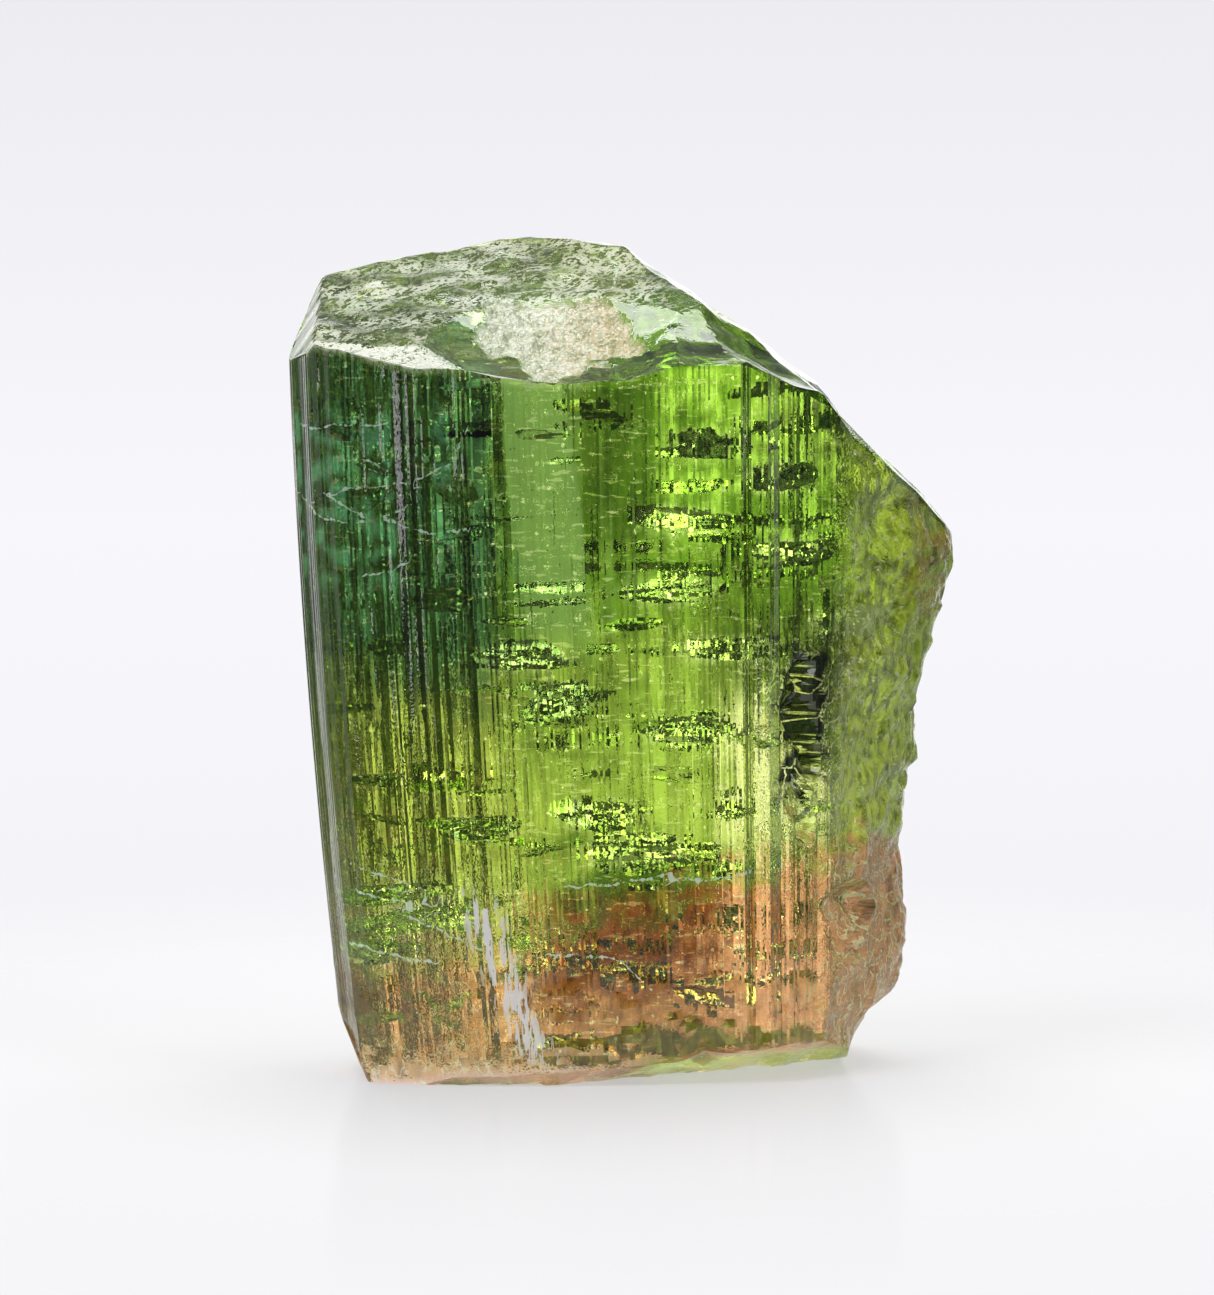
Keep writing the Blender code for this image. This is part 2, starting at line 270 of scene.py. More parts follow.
# Sizes in mm of the noises that make the colours uneven: across, in depth and upwards
NOISE_SIZES = {
    "patches": (4.0, 4.0, 2.0), "blotches": (1.1, 1.1, 0.5),
    "wisps": (1.8, 1.8, 0.4), "streaks": (0.6, 0.6, 30.0),
}
PANE_SIZE = (1.2, 1.2, 0.5)
POCKET_SIZE = (0.35, 0.35, 0.35)
SUGAR_GRAIN_SIZE = (0.25, 0.25, 0.35)
LINE_BREAK_SIZE = (0.3, 0.3, 2.5)
# Places moved by noises, so that the zones have uneven edges
MOVED_FIELDS = {
    "shifted": {"x": 1, "patches": 1.0, "streaks": 1.4},
    "raised": {"z": 1, "patches": 1.4, "blotches": 1.0},
    "sunny": {"streaks": 1, "wisps": 1},
    "level": {"z": 1, "x": -0.2, "patches": 1.2, "blotches": 1.0},
    "base_x": {"x": 1, "blotches": 1.5},
    "base_z": {"z": 1, "blotches": 1},
    "pit_x": {"x": 1, "blotches": 0.5},
    "pit_z": {"z": 1, "blotches": 1.5},
    "top_left": {"x": 1, "y": 0.6, "blotches": 1},
    "top_right": {"x": 1, "blotches": 1, "y": -0.2},
}
TOP_HOLLOW_MM = (-8.2, -2.4)  # the dark hollow near the left end of the top
TOP_HOLLOW_REACH = (2.0, 1.7)

# Bounds: from none at the first number to all at the second, or a band's two edges and its softness
LEFT_BOUNDS = [("shifted", -2.6, -4.6), ("raised", 7.0, 9.0)]
OLIVE_BELOW = [("raised", 12.0, 9.5)]
OLIVE_LEFT = [("x", -3.0, -5.0)]
OLIVE_SHARE = (0.2, 0.5)  # all over, and more at the left
MIST_BOUNDS = [("shifted", 3.8, 7.2, 0.6), ("raised", 8.4, 13.0, 0.8)]
BRIGHT_BOUNDS = [("x", 2.0, 8.0, 0.6), ("z", 16.0, 20.0)]
SUGAR_BOUNDS = [("x", 7.4, 8.0)]
BASE_BOUNDS = [("level", 6.6, 5.8)]
BASE_HIGHLIGHT_BOUNDS = [("x", 1.0, -1.0)]
PIT_SHADE_BOUNDS = [("pit_x", 5.8, 7.6, 0.12), ("pit_z", 10.2, 15.2, 0.3)]
LINES_LEFT = [("shifted", -1.5, -4.0)]
LINES_RIGHT = [("x", 4.4, 8.2, 0.3), ("z", 19.0, 16.0)]
# Colour zones, laid on in this order: the colour, how much of it, and its bounds
GREEN_ZONES = [
    (LIME, 1.0, [("raised", 17.8, 13.8)]),
    (LIME, 1.0, [("shifted", 3.6, 6.2), ("raised", 19.5, 23.0)]),
    (LIME, 0.55, [("wisps", 0.05, 0.5)]),
    (MOSS, 0.65, [("wisps", -0.05, -0.5), ("z", 8.0, 12.0)]),
]
LEFT_ZONES = [
    (OLIVE, 1.0, [("raised", 16.0, 12.0)]),
]
FRONT_ZONES = [
    (MOSS, 0.7, [("x", -0.8, 2.0, 0.6), ("z", 18.0, 20.0)]),
    (MOSS, 1.0, [("x", -2.4, 3.2, 0.8), ("raised", 6.0, 7.6, 0.6)]),
    (SUGAR, 1.0, [("x", 7.6, 8.4), ("z", 7.0, 9.0)]),
    (SUNLIT, 1.0, [("x", 2.0, 8.0, 0.6), ("raised", 17.0, 21.0), ("sunny", -0.3, 0.4)]),
]
PALE_ZONES = [
    (FOG, 1.0, MIST_BOUNDS),
    (STAIN, 0.6, [("x", 9.8, 10.8), ("z", 16.3, 20.8, 1.0), ("blotches", -0.3, 0.2)]),
]
BASE_ZONES = [
    (PINK, 1.0, [("base_x", 2.4, 4.4)]),
    (ROSE, 1.0, [("base_x", -2.6, -4.2)]),
    (ROSE, 0.6, [("base_z", 3.6, 2.0), ("x", 4.0, 2.0)]),
]
BASE_EDGE_ZONES = [
    (OLIVE, 1.0, [("x", 0.0, 2.0), ("z", 1.1, 0.7)]),
]
TOP_ZONES = [
    (STRAW, 1.0, [("top_left", -3.0, 3.0)]),
    (MOSS, 1.0, [("hollow", 1.2, 0.7)]),
    (LEAF, 1.0, [("top_right", -0.4, 1.2)]),
]
PLANK_SHEEN_SHARE = 0.85
PANE_SHARE = 0.8
PANE_SPREAD = (0.04, 0.14)
FRACTURE_HIGHLIGHT_SHARE = 0.6
SUGAR_CONTRAST = 1.2
BASE_CONTRAST = 0.7
# The pale splintered streak, painted white partly for the splinters and partly as painted glints: x and z
# in mm of its lower end, how it leans, its heights and softness
SPLINTER_GLINT_MM = (-3.5, 1.2)
SPLINTER_GLINT_LEAN = -0.33
SPLINTER_GLINT_HEIGHTS = (0.8, 7.2, 0.8)

# The clear material and the walls of the gaps in it
ABSORPTION = (0.72, 0.86, 0.34)
ABSORPTION_DENSITY = 60
INDEX = 1.63
POLISHED = 0.010
VEIL_ROUGHNESS = 0.30
FROST_ROUGHNESS = 0.03
VEIL_SHARE = 0.85  # how much of the light a pale part keeps from going through
FRESH_SHARE = 0.9
DASH_SHARE = 0.4
CRACK_SHARE = 0.85
BUMP_DISTANCE = 0.15 * MM
GAP_COLOUR = (1.0, 0.97, 0.86)
GAP_ROUGHNESS = 0.02
SHARP_ANGLE = math.radians(4)
SUGARY_FROM = (7.2, 8.6)  # from where to the right the side is broken and sugary, x in mm
# Noises of the material: how many features there are to a millimetre, across, in depth and upwards
GRAIN_STRETCH = (7.0, 7.0, 7.0)
LINE_STRETCH = (1.7, 1.7, 1.3)
DASH_STRETCH = (1.5, 1.5, 6.5)
SPECK_STRETCH = (5.0, 5.0, 5.0)
REED_STRETCH = (4.2, 4.2, 0.7)

# Camera: where the photograph was taken from
CAMERA_ELEVATION = 6.0
CAMERA_DISTANCE = 300 * MM
CAMERA_TARGET = Vector((-0.18, 0.0, 14.91)) * MM
CAMERA_CLIP = (10 * MM, 10)
FRAME_HEIGHT = 46 * MM  # what the long side of the picture spans at the target

LIGHT_BOUNCES = 10

# Sky: how high it is bright, as the sine of the elevation, and how bright it is elsewhere
SKY_LOW = 0.42
SKY_HIGH = 0.26
SKY_SHARE = 0.15
SKY_REST = 0.10
SKY_RIGHT, SKY_LEFT = 0.91, 0.86  # how bright the sides are, against straight behind
# How bright it is at each share of the way to straight behind or to a side
SKY_AROUND = [(0.0, 0.2), (0.70, 0.13), (0.80, 0.30), (0.89, 0.9), (0.95, 1.4), (1.0, 1.6)]
SKY_TURN = 0.20  # how far the bright half of the sky is turned to the left
SKY_EDGE = (-0.25, 0.0)
SKY_CROWN = (0.95, 0.75)  # it is dim straight above
# The backdrop that the camera sees, from below the horizon upwards
BACKDROP_FROM, BACKDROP_TO = -0.20, 0.0
BACKDROP = [
    (0.0, (0.93, 0.93, 0.95)), (0.30, (0.90, 0.90, 0.93)),
    (0.55, (0.94, 0.93, 0.97)), (0.87, (0.845, 0.84, 0.88)),
]

# Panels: name, place and size in mm, and radiance
PANELS = [
    ("key", (-230, -150, 280), (200, 200), 4.5),
    ("overhead", (10, 88, 322), (260, 225), 5.0),
    ("strip", (-190, -230, 60), (16, 200), 3.5),
    ("right", (190, -110, 240), (120, 120), 3.5),
]
PANELS_FACE = Vector((0, 0, 15 * MM))

# Floor: a light table, which fades into the background between two radii
FLOOR_COLOUR = (0.38, 0.38, 0.39)
FLOOR_GLOW_COLOUR = (1.0, 0.99, 1.0)
FLOOR_ROUGHNESS = 0.16
FLOOR_INDEX = 1.02  # low, for a weak reflection at a flat angle
FLOOR_SEGMENTS = 96
FLOOR_GLOW = 0.45
FLOOR_RADIUS = 100 * MM
FLOOR_FADE_FROM = 12 * MM
FLOOR_FADE_TO = 55 * MM


def noise_at(points):
    """Smooth noise at each row of points."""
    return np.array([noise.noise(point) for point in points])


def lifted(x, y):
    return np.column_stack([x, y, np.zeros_like(x)])


def coarse_outline():
    """The solid's striated section at mid height."""
    corners = np.array(SECTION_MM) * MM
    lengths = np.linalg.norm(np.roll(corners, -1, axis=0) - corners, axis=1)
    shares = np.concatenate([[0.0], np.cumsum(lengths) / lengths.sum()])
    ring = np.vstack([corners, corners[:1]])
    widths = np.random.default_rng(STRIP_SEED).uniform(NARROWEST, WIDEST, STRIPS)
    marks = np.cumsum(widths) / widths.sum()
    points = np.column_stack([np.interp(marks, shares, ring[:, axis]) for axis in (0, 1)])
    rounded = (np.roll(points, 1, axis=0) + 2 * points + np.roll(points, -1, axis=0)) / 4
    steps = np.random.default_rng(STRIP_SEED + 1).uniform(-1, 1, STRIPS)
    planks = (rounded[:, 0] > PLANKS_FROM_X) & (rounded[:, 0] < PLANKS_TO_X) & (rounded[:, 1] < 0)
    depths = np.where(planks, PLANK_DEPTH, STRIP_DEPTH)
    return rounded + outward_of(rounded) * (steps * depths)[:, None]


def outward_of(ring):
    along = np.roll(ring, -1, axis=0) - np.roll(ring, 1, axis=0)
    outward = np.column_stack([along[:, 1], -along[:, 0]])
    return outward / np.linalg.norm(outward, axis=1)[:, None]


def fine_outline():
    """The coarse outline, split into fine flats: each point, how far it is set in or out, and its tone."""
    rng = np.random.default_rng(FINE_SEED)
    coarse = coarse_outline()
    flats = np.repeat(rng.uniform(*FLAT_TONES, STRIPS // FLAT_STRIPS + 1), FLAT_STRIPS)
    points, offsets, tones = [], [], []
    for start, end, flat in zip(coarse, np.roll(coarse, -1, axis=0), flats):
        width = CRUMB_WIDTH if start[0] > RIDGE_X else FINE_WIDTH
        count = max(2, round(np.linalg.norm(end - start) / width))
        shifts = rng.uniform(-CUT_SHIFT, CUT_SHIFT, count - 1)
        cuts = (np.arange(count) + np.concatenate([[0], shifts])) / count
        points.append(start + cuts[:, None] * (end - start))
        offsets.append(np.concatenate([[0], rng.uniform(-1, 1, count - 1)]))
        lines = np.where(rng.uniform(0, 1, count) < LINE_SHARE, rng.uniform(*LINE_TONES, count), 1.0)
        tones.append(lines * flat * rng.uniform(*STRIP_TONES))
    return np.vstack(points), np.concatenate(offsets), np.concatenate(tones)


def right_swell(z):
    """How far the broken right side reaches past the ridge, against the section's own reach."""
    widest = max(corner[0] for corner in SECTION_MM) * MM
    heights, reaches = np.array(RIGHT_REACH_MM).T * MM
    return (np.interp(z, heights, reaches) - RIDGE_X) / (widest - RIDGE_X)


def placed(xy, z):
    """Where points of the mid-height section lie at heights z."""
    x, y = xy[:, 0], xy[:, 1]
    rise = z - MID_HEIGHT
    widest = max(corner[0] for corner in SECTION_MM) * MM
    y = y * (1 + TAPER_Y * rise)
    left = RIDGE_X + (x - RIDGE_X) * (1 + TAPER_X * rise - TAPER_X_SLACK * rise * rise)
    spots = np.column_stack([x, y, z])
    right = x > RIDGE_X
    lump = np.zeros(len(x))
    lump[right] = (
        noise_at(spots[right] / LUMP_SIZE) * LUMP_DEPTH + noise_at(spots[right] / GRAIN_SIZE) * GRAIN_DEPTH
    )
    share = np.clip((x - RIDGE_X) / (widest - RIDGE_X) * 2, 0, 1)
    broken_x = RIDGE_X + (x - RIDGE_X) * right_swell(z) + lump * share
    return np.column_stack([np.where(right, broken_x, left), y - lump * share, z])


def bowl(values, x, y):
    middle_x, middle_y, middle_z = (value * MM for value in values[:3])
    slope_x, slope_y, bend = values[3:]
    off_x, off_y = x - middle_x, y - middle_y
    return middle_z + slope_x * off_x + slope_y * off_y + bend / MM * (off_x ** 2 + off_y ** 2)


def top_layers(x, y):
    """Heights of each surface that could be the top: etched end, shoulder, hollows and planes."""
    distances, heights = np.array(SHOULDER_MM).T * MM
    etched_end = END_FRONT + END_SLOPE * (y - END_FRONT_Y)
    shoulder = np.interp(x, distances, heights) - SHOULDER_BACK_FALL * y
    layers = [etched_end, shoulder]
    layers += [bowl(values, x, y) for values in TOP_HOLLOWS]
    layers += [bowl((*values, 0.0), x, y) for values in TOP_PLANES]
    return np.array(layers)


def top_height(x, y):
    spots = lifted(x, y)
    waves = noise_at(spots / TOP_WAVE_SIZE) * TOP_WAVE_DEPTH
    pits = noise_at(spots / TOP_PIT_SIZE + PIT_SHIFT) * TOP_PIT_DEPTH
    etching = noise_at(spots / ETCH_SIZE) * ETCH_DEPTH
    grains = np.abs(noise_at(spots / FRESH_GRAIN_SIZE)) * FRESH_GRAIN_DEPTH * fresh_break(x / MM, y / MM)
    return top_layers(x, y).min(axis=0) + waves + pits + etching - grains


def fresh_break(x, y):
    """1 inside the pale break on the top, 0 outside; places in mm."""
    edge = clouds(np.column_stack([x, y, x * 0]), FRESH_BREAK_EDGE_SIZE) * FRESH_BREAK_UNEVEN
    off_x = (x - FRESH_BREAK_MM[0]) / FRESH_BREAK_REACH[0]
    off_y = (y - FRESH_BREAK_MM[1]) / FRESH_BREAK_REACH[1]
    return ramp(np.hypot(off_x, off_y) + edge, 1.05, 0.95)


def base_planes(x, y):
    rises = [bowl((at_x, at_y, 0.0, *slopes, 0.0), x, y) for at_x, at_y, *slopes in BASE_PLANES]
    return np.array(rises).max(axis=0)


def base_height(x, y):
    waves = noise_at(lifted(x, y) / BASE_WAVE_SIZE) * BASE_WAVE_DEPTH
    return np.maximum(0.0, base_planes(x, y) + waves)


def rim(xy, height_at, start):
    """Heights at which the prism's columns meet a surface."""
    z = np.full(len(xy), start)
    for _ in range(RIM_STEPS):
        at = placed(xy, z)
        z = 0.5 * z + 0.5 * height_at(at[:, 0], at[:, 1])
    return z


def plank(x, z):
    """1 on the smooth flat that leans to the right, left of the middle; places in mm."""
    return band(x + 0.10 * (z - 20), -3.3, -0.9, 0.1) * ramp(z, 14.5, 16.0)


def columns(z_share, xy, offsets, outward, low, high):
    """One ring of the side, at a share of the way from the base's rim to the top's."""
    z = low + (high - low) * z_share
    at = placed(xy, z)
    fade = FINE_FADE[0] + FINE_FADE[1] * noise_at(at / FINE_FADE_SIZE)
    right = np.clip((xy[:, 0] - RIDGE_X) / (1.0 * MM), 0, 1)
    back = np.clip(xy[:, 1] / (2.0 * MM), 0, 1) * (1 - right)
    inner = min(1.0, 6 * z_share, 6 * (1 - z_share))  # 0 at both rims
    foot = ramp(z, FOOT_HEIGHT, FOOT_HEIGHT / 3)
    smooth = 1 - 0.7 * plank(xy[:, 0] / MM, z / MM)
    depth = offsets * FINE_DEPTH * fade * (1 - 0.7 * right) * (1 - 0.6 * foot) * smooth
    depth += noise_at(at / FOOT_LUMP_SIZE) * FOOT_LUMP_DEPTH * foot
    depth += noise_at(at / CRUMB_SIZE) * CRUMB_DEPTH * right
    depth += noise_at(at / (CRUMB_SIZE / 2)) * CRUMB_DEPTH / 2 * right
    depth += noise_at(at / BACK_WAVE_SIZE * BACK_WAVE_FLATTEN) * BACK_WAVE_DEPTH * back * inner
    at[:, :2] += outward * depth[:, None]
    for values in SCOOPS:
        at = scooped(at, *values)
    return at


def scooped(points, centre, radii, turn, unevenness):
    """The points, with those inside an uneven ball pushed in to its far wall."""
    turned = np.array(Matrix.Rotation(math.radians(turn), 3, "Z"))
    radii = np.array(radii) * MM
    near = np.linalg.norm(points - np.array(centre) * MM, axis=1) < radii.max() * (1 + unevenness)
    local = (points[near] - np.array(centre) * MM) @ turned / radii
    uneven = 1 + noise_at(points[near] / SCOOP_WAVE_SIZE) * unevenness
    inward = np.column_stack([HEART - points[near, :2], np.zeros(len(local))])
    inward /= np.linalg.norm(inward, axis=1)[:, None]
    step = inward @ turned / radii
    along = (local * step).sum(axis=1)
    length = (step * step).sum(axis=1)
    short = uneven ** 2 - (local * local).sum(axis=1)
    reach = (np.sqrt(np.maximum(along ** 2 + length * short, 0)) - along) / length
    moved = points.copy()
    moved[near] += inward * np.where(short > 0, reach, 0)[:, None]
    return moved


def cap(ring, height_at, spacing, rng):
    """Points and triangles that close a ring, with inner points at height_at."""
    flat = ring[:, :2]
    off = flat - HEART
    turns = np.arctan2(off[:, 1], off[:, 0])
    order = np.argsort(turns)
    reach = np.linalg.norm(off, axis=1)
    low, high = flat.min(axis=0), flat.max(axis=0)
    across, deep = (np.arange(low[axis], high[axis], spacing) for axis in (0, 1))
    grid = np.stack(np.meshgrid(across, deep), -1)
    inner = grid.reshape(-1, 2) + rng.uniform(-CAP_JITTER, CAP_JITTER, (grid.size // 2, 2)) * spacing
    off = inner - HEART
    edge = np.interp(np.arctan2(off[:, 1], off[:, 0]), turns[order], reach[order], period=math.tau)
    inner = inner[np.linalg.norm(off, axis=1) < edge - CAP_GAP * spacing]
    count = len(ring)
    loop = [(i, (i + 1) % count) for i in range(count)]
    every = [Vector(p / MM) for p in np.vstack([flat, inner])]
    verts, _, faces, origins, _, _ = delaunay_2d_cdt(every, loop, [], 1, 1e-7, True)
    assert len(verts) == len(every)
    home = [sources[0] for sources in origins]
    made = np.array([[home[i] for i in face] for face in faces])
    z = height_at(inner[:, 0], inner[:, 1])
    return np.column_stack([inner, z]), made


def crystal_points():
    """All points of the outside and its faces, and each point's place in the section, tone and side."""
    xy, offsets, tones = fine_outline()
    outward = outward_of(xy)
    high = rim(xy, top_height, RIM_START)
    low = rim(xy, base_height, 0.0)
    rings = [columns(share, xy, offsets, outward, low, high) for share in np.linspace(0, 1, LEVELS + 1)]
    count = len(xy)
    faces = []
    for level in range(LEVELS):
        a = level * count + np.arange(count)
        b = level * count + (np.arange(count) + 1) % count
        faces += np.column_stack([a, b, b + count, a + count]).tolist()
    rng = np.random.default_rng(SPACING_SEED)
    points = [*rings]
    section = [np.tile(xy, (LEVELS + 1, 1))]
    tone = [np.tile(tones, LEVELS + 1)]
    total = count * (LEVELS + 1)
    end = np.zeros(total)
    end[count * LEVELS:] = 1
    end[:count] = -1
    for ring, first, height_at, spacing, up in (
        (rings[-1], count * LEVELS, top_height, CAP_SPACING, True),
        (rings[0], 0, base_height, BASE_SPACING, False),
    ):
        inner, triangles = cap(ring, height_at, spacing, rng)
        index = np.where(triangles < count, triangles + first, triangles - count + total)
        faces += (index if up else index[:, ::-1]).tolist()
        points.append(inner)
        section.append(inner[:, :2])
        tone.append(np.ones(len(inner)))
        end = np.concatenate([end, np.full(len(inner), 1 if up else -1)])
        total += len(inner)
    return np.vstack(points), faces, np.vstack(section), np.concatenate(tone), end


def top_share(points, top, values):
    """A value of the top's layers at each point, and zero off the top."""
    share = np.zeros(len(points))
    layers = top_layers(points[top, 0], points[top, 1])
    weights = np.exp((layers.min(axis=0) - layers) / LAYER_BLEND)
    share[top] = np.array(values) @ weights / weights.sum(axis=0)
    return share


def ramp(value, low, high):
    """0 where the value is at low and 1 where it is at high, smooth between."""
    share = np.clip((value - low) / (high - low), 0, 1)
    return share * share * (3 - 2 * share)


def band(value, low, high, soft):
    """1 between low and high, fading over soft."""
    return ramp(value, low - soft, low + soft) * ramp(value, high + soft, high - soft)


def clouds(points, sizes):
    """Uneven patches of the given sizes, from about -1 to 1."""
    return np.array([noise.fractal(point, 1.0, 2.0, 3) for point in points / sizes])


def blend(share, a, b):
    return a + share[:, None] * (np.array(b) - a)


def tints(column, tone, end):
    """Colour at each point: greens, pink and brown at the base, grey-green on the top."""
    fields = fields_of(column)
    tint = laid(np.array(LEAF), fields, GREEN_ZONES)
    left = laid(np.array(TEAL), fields, LEFT_ZONES)
    tint = blend(inside(fields, LEFT_BOUNDS), tint, left)
    # painted reflection: the smooth leaning flat is real, its greyer green stands in for the sheen it
    # reflects
    tint = blend(fields["leaning"] * PLANK_SHEEN_SHARE, tint, PLANK_SHEEN)
    more_left = OLIVE_SHARE[0] + OLIVE_SHARE[1] * inside(fields, OLIVE_LEFT)
    tint = blend(inside(fields, OLIVE_BELOW) * more_left, tint, OLIVE)
    tint = laid(tint, fields, FRONT_ZONES)
    tint *= sugar_grains(column, fields)
    tint = laid(tint, fields, PALE_ZONES)
    tint = tint * (1 - line_strength(column, fields, end) * (1 - tone))[:, None]
    # painted light: the panes between the dark lines are painted bright
    tint = blend(lit_panes(column, tone) * PANE_SHARE, tint, PANE_LIGHT)
    # painted highlight: the front is painted paler where a fracture lies behind
    tint = blend(before_fractures(column) * ramp(tone, 0.0, 0.3) * FRACTURE_HIGHLIGHT_SHARE, tint, FRACTURE_HIGHLIGHT)
    tint = blend(inside(fields, BASE_BOUNDS), tint, base_tint(column, fields, tone))
    # painted highlight: the broken base and its rim at the left are painted pale pink for their glints
    tint = blend((end == -1) * inside(fields, BASE_HIGHLIGHT_BOUNDS), tint, BASE_HIGHLIGHT)
    # painted shade: the pit in the broken ridge is painted near-black
    tint = blend(inside(fields, PIT_SHADE_BOUNDS), tint, PIT_SHADE)
    return blend(end == 1, tint, laid(np.array(ASH), fields, TOP_ZONES))


def fields_of(column):
    """What the bounds are given in: places in mm, noises, and places moved by noises."""
    x, y, z = column.T
    fields = {"x": x, "y": y, "z": z, "leaning": plank(x, z)}
    for name, sizes in NOISE_SIZES.items():
        fields[name] = clouds(column, sizes)
    for name, terms in MOVED_FIELDS.items():
        fields[name] = sum(fields[term] * factor for term, factor in terms.items())
    off_x = (x - TOP_HOLLOW_MM[0]) / TOP_HOLLOW_REACH[0]
    off_y = (y - TOP_HOLLOW_MM[1]) / TOP_HOLLOW_REACH[1]
    fields["hollow"] = np.hypot(off_x, off_y) + fields["blotches"]
    return fields


def inside(fields, bounds):
    """1 within all the bounds and 0 outside, smooth between."""
    share = 1.0
    for name, *values in bounds:
        share = share * (ramp if len(values) == 2 else band)(fields[name], *values)
    return share


def laid(tint, fields, zones):
    """The tint with the colour of each zone laid over it in turn."""
    for colour, amount, bounds in zones:
        tint = blend(inside(fields, bounds) * amount, tint, colour)
    return tint


def sugar_grains(column, fields):
    """How much lighter or darker each grain of the broken right side is."""
    grains = SUGAR_CONTRAST * clouds(column, SUGAR_GRAIN_SIZE) - 0.1
    return 1 + inside(fields, SUGAR_BOUNDS)[:, None] * grains[:, None].clip(-0.8, 0.4)


def line_strength(column, fields, end):
    """How much of their darkness the upright dark lines have at each point."""
    x, z = fields["x"], fields["z"]
    bright = np.maximum(inside(fields, MIST_BOUNDS), inside(fields, BRIGHT_BOUNDS))
    strong = np.maximum(inside(fields, LINES_LEFT), inside(fields, LINES_RIGHT))
    strength = 0.35 + 0.35 * ramp(z, 4.0, 9.0) + 0.3 * ramp(z, 11.0, 15.0)
    strength *= 0.75 + 0.25 * strong
    strength *= (1 - 0.6 * fields["leaning"]) * (1 - 0.6 * bright) * (1 - 0.7 * ramp(x, 7.6, 8.6))
    return strength * (end != 1) * np.clip(1.0 + clouds(column, LINE_BREAK_SIZE), 0, 1)


def base_tint(column, fields, tone):
    """The brown, pink and rose of the base, with darker pockets."""
    x = fields["x"]
    base = laid(np.array(BROWN), fields, BASE_ZONES)
    base *= (1 - 0.30 * (1 - tone) * ramp(x, 3.0, 4.0))[:, None]
    pockets = 0.85 + 0.15 * ramp(x, 2.0, 4.0) + BASE_CONTRAST * clouds(column, POCKET_SIZE)
    base *= pockets[:, None].clip(0.25, 1.3)
    return laid(base, fields, BASE_EDGE_ZONES)


def splinter_glints(column, end):
    """1 in the middle of the pale splintered streak at the lower left of the front, painted white partly
    for the splinters and partly as painted glints.
    """
    x, y, z = column.T
    middle = SPLINTER_GLINT_MM[0] + SPLINTER_GLINT_LEAN * (z - SPLINTER_GLINT_MM[1])
    share = (1.25 - np.abs(x - middle) * 0.8).clip(0, 1)
    return share * band(z, *SPLINTER_GLINT_HEIGHTS) * (y < 0) * (end == 0)


def lit_panes(column, tone):
    """1 on the bright panes at the upper left of the front, between the dark lines: painted light, as if
    shining through between the cracks.
    """
    x, y, z = column.T
    patches = clouds(column, PANE_SIZE) + 0.5 * clouds(column, NOISE_SIZES["streaks"])
    place = ramp(x, -4.0, -5.5) * band(z, 17.6, 23.8, 0.6) * (y < 0)
    return ramp(patches, *PANE_SPREAD) * place * ramp(tone, 0.15, 0.40)


def before_fractures(column):
    """1 on the front where a fracture lies behind: a painted highlight, paler, for the light the fracture
    reflects.
    """
    x, y, z = column.T
    share = np.zeros(len(x))
    for at_x, _, at_z, across, deep, front, _ in FRACTURES:
        height = deep * math.sin(math.radians(front)) + 0.1
        reach = np.hypot((x - at_x) / across, (z - at_z - 0.15) / height)
        share = np.maximum(share, ramp(reach, 1.1, 0.8))
    return share * (y < 0) * (1 - ramp(x, -4.0, -5.5) * ramp(z, 15.0, 17.0))


def side_dull(column, tone, end):
    """How dull the side is: a little on the broken right side, and on the bright panes of painted light."""
    return (end == 0) * (0.35 * lit_panes(column, tone) + 0.42 * ramp(column[:, 0], 7.4, 8.6))


def top_dull(points, column, top):
    """How dull the top is: uneven, clean at the right, white along the front-left rim, and white in a round
    painted highlight near its left end.
    """
    x, y, _ = column.T
    share = top_share(points, top, TOP_DULL)
    patchy = (0.8 + 0.7 * clouds(column, DULL_PATCH_SIZE)).clip(0.25, 1.1) * (1 - 0.8 * ramp(x, 1.6, 3.0))
    off_highlight = np.hypot(x - TOP_HIGHLIGHT_MM[0], y - TOP_HIGHLIGHT_MM[1])
    # painted highlight: a small round white spot where a lamp's reflection would be
    highlight = ramp(off_highlight, TOP_HIGHLIGHT_RADIUS * 1.2, TOP_HIGHLIGHT_RADIUS * 0.8)
    off_rim = line_distance(column[:, :2], [WHITE_RIM])[1] + 0.35 * clouds(column, RIM_EDGE_SIZE)
    rim = ramp(off_rim, WHITE_RIM_WIDTH * 1.1, WHITE_RIM_WIDTH * 0.9)
    return np.maximum(np.where(share < 0.9, share * patchy, share), np.maximum(highlight, rim) * top)


def crazed(column):
    """Where the broken ridge and the lower corners are crazed."""
    x, y, z = column.T
    ridge = band(x, 4.8, 8.6, 0.6) * band(z, 7.0, 15.0, 1.0)
    right_foot = ramp(x, 6.5, 8.0) * ramp(z, 9.0, 7.0)
    left_foot = ramp(x, -2.5, -4.0) * ramp(z, 7.5, 6.0) * 0.6
    return np.maximum(np.maximum(ridge, right_foot), left_foot) * 0.9


def line_distance(spots, lines):
    """How far each spot is from the nearest line, in mm, up to 1: signed by the line's side, and plain."""
    nearest = np.ones(len(spots))
    signed = np.ones(len(spots))
    for line in lines:
        for start, end in zip(np.array(line[:-1]), np.array(line[1:])):
            along = end - start
            off = spots - start
            share = (off @ along / (along @ along)).clip(0, 1)
            reach = np.linalg.norm(off - share[:, None] * along, axis=1)
            side = np.where(along[0] * off[:, 1] > along[1] * off[:, 0], 1, -1)
            signed = np.where(reach < nearest, reach * side, signed)
            nearest = np.minimum(nearest, reach)
    return signed, nearest


